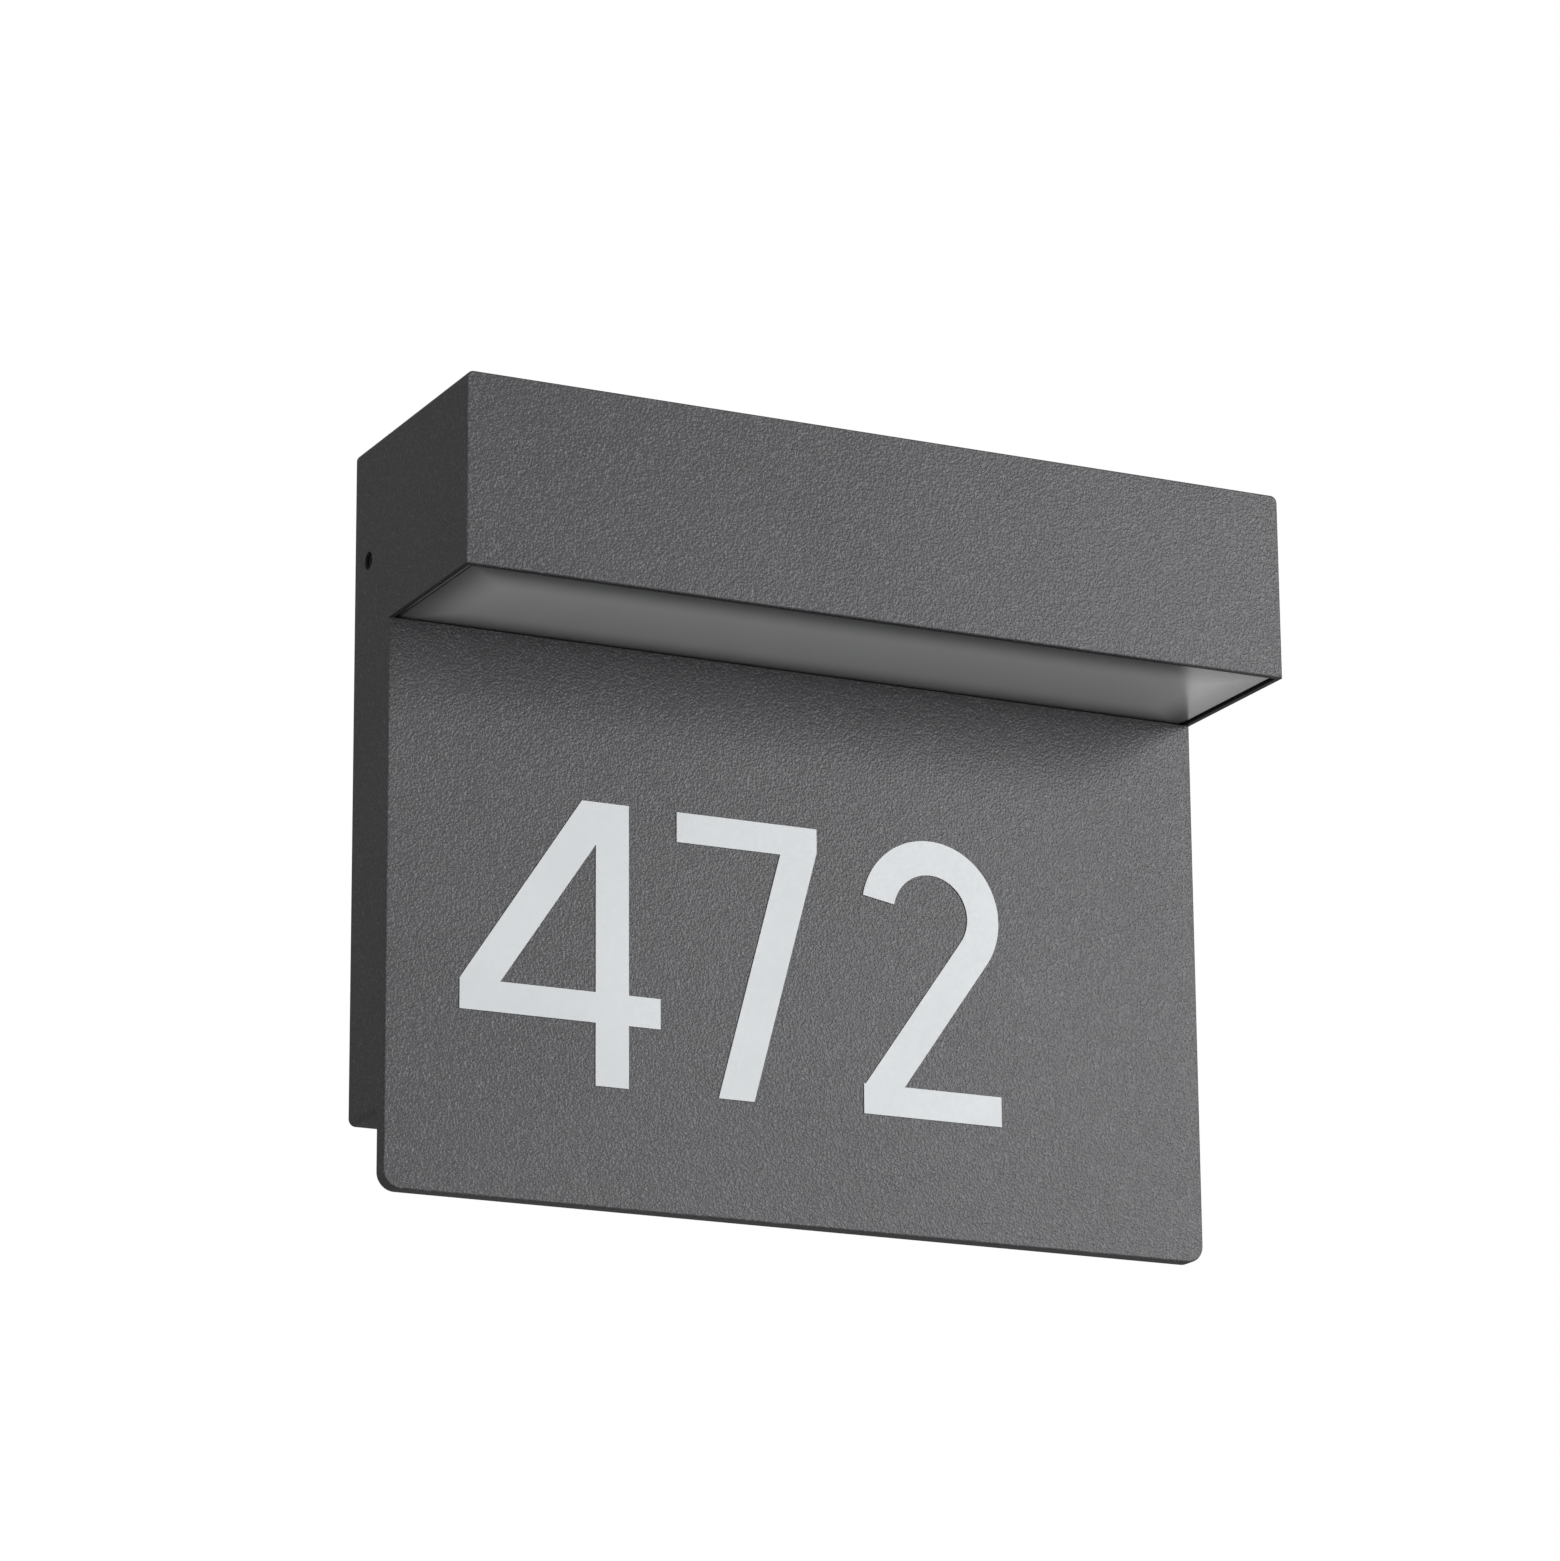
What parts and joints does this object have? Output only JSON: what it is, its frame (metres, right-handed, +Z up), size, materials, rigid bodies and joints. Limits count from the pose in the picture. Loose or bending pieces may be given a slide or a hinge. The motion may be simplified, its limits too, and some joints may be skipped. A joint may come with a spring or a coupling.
{
  "type": "illuminated house number sign",
  "caption": "Wall sign: a box hood with a light panel in its underside over a flat number plate, with a rear shell that slides onto a slotted wall bracket",
  "frame": {"origin": "on the wall plane, at the centre of the wall bracket's screw slots, level with the grub screws", "axes": "+X to the right for someone who looks at the sign, +Y into the wall, +Z up"},
  "size_m": [0.25, 0.0771, 0.2118],
  "materials": {
    "powder_coated_casting": "anthracite fine-texture powder coat on die-cast aluminium",
    "powder_coated_plate": "anthracite fine-texture powder coat on aluminium plate",
    "numeral_film": "matt light grey adhesive film",
    "satin_acrylic": "satin opal acrylic",
    "silicone": "black silicone",
    "stainless": "stainless steel",
    "zinc_steel": "zinc plated sheet",
    "zinc_screws": "zinc plated steel",
    "black_rubber": "black rubber",
    "foam": "closed cell foam rubber",
    "white_sheet": "white coated steel sheet",
    "lamp_board": "white solder mask on aluminium",
    "lamp_chips": "phosphor in white package",
    "white_plastic": "white moulded plastic",
    "clear_plastic": "natural polyamide",
    "circuit_board": "green solder mask",
    "components": "moulded component bodies",
    "brass": "bare brass",
    "tinned_ring": "tinned copper",
    "red_insulation": "PVC insulation",
    "black_insulation": "PVC insulation",
    "brown_insulation": "PVC insulation",
    "blue_insulation": "PVC insulation",
    "green_yellow_insulation": "PVC insulation"
  },
  "bodies": {
    "wall_side": {"wall_bracket": "zinc_steel", "cable_grommet": "black_rubber"},
    "lamp": {"lamp_housing": "powder_coated_casting", "number_plate": "powder_coated_plate", "numeral_left": "numeral_film", "numeral_middle": "numeral_film", "numeral_right": "numeral_film", "diffuser": "satin_acrylic", "diffuser_seal": "silicone", "wall_gasket": "foam", "plate_screws": "zinc_screws", "led_tray": "white_sheet", "tray_screws": "zinc_screws", "led_board": "lamp_board", "led_chips": "lamp_chips", "board_screws": "zinc_screws", "led_connector": "white_plastic", "lead_grommet": "black_rubber", "led_lead_positive": "red_insulation", "led_lead_negative": "black_insulation", "driver_case": "white_plastic", "driver_lid": "white_plastic", "driver_board": "circuit_board", "driver_components": "components", "driver_screws": "zinc_screws", "terminal_block": "clear_plastic", "terminal_clamps": "brass", "terminal_clamp_screws": "zinc_screws", "terminal_fixing_screws": "zinc_screws", "mains_lead_live": "brown_insulation", "mains_lead_neutral": "blue_insulation", "earth_lead": "green_yellow_insulation", "earth_ring": "tinned_ring", "earth_washer": "zinc_screws", "earth_screw": "brass"},
    "grub_left": {"grub_screw_left": "stainless"},
    "grub_right": {"grub_screw_right": "stainless"}
  },
  "joints": [
    {"name": "lamp_pull_off", "type": "slide", "parent": "wall_side", "child": "lamp", "axis": [0, -1, 0], "range_m": [0, 0.06]},
    {"name": "grub_left_out", "type": "slide", "parent": "lamp", "child": "grub_left", "axis": [-1, 0, 0], "range_m": [0, 0.003]},
    {"name": "grub_right_out", "type": "slide", "parent": "lamp", "child": "grub_right", "axis": [1, 0, 0], "range_m": [0, 0.003]}
  ]
}
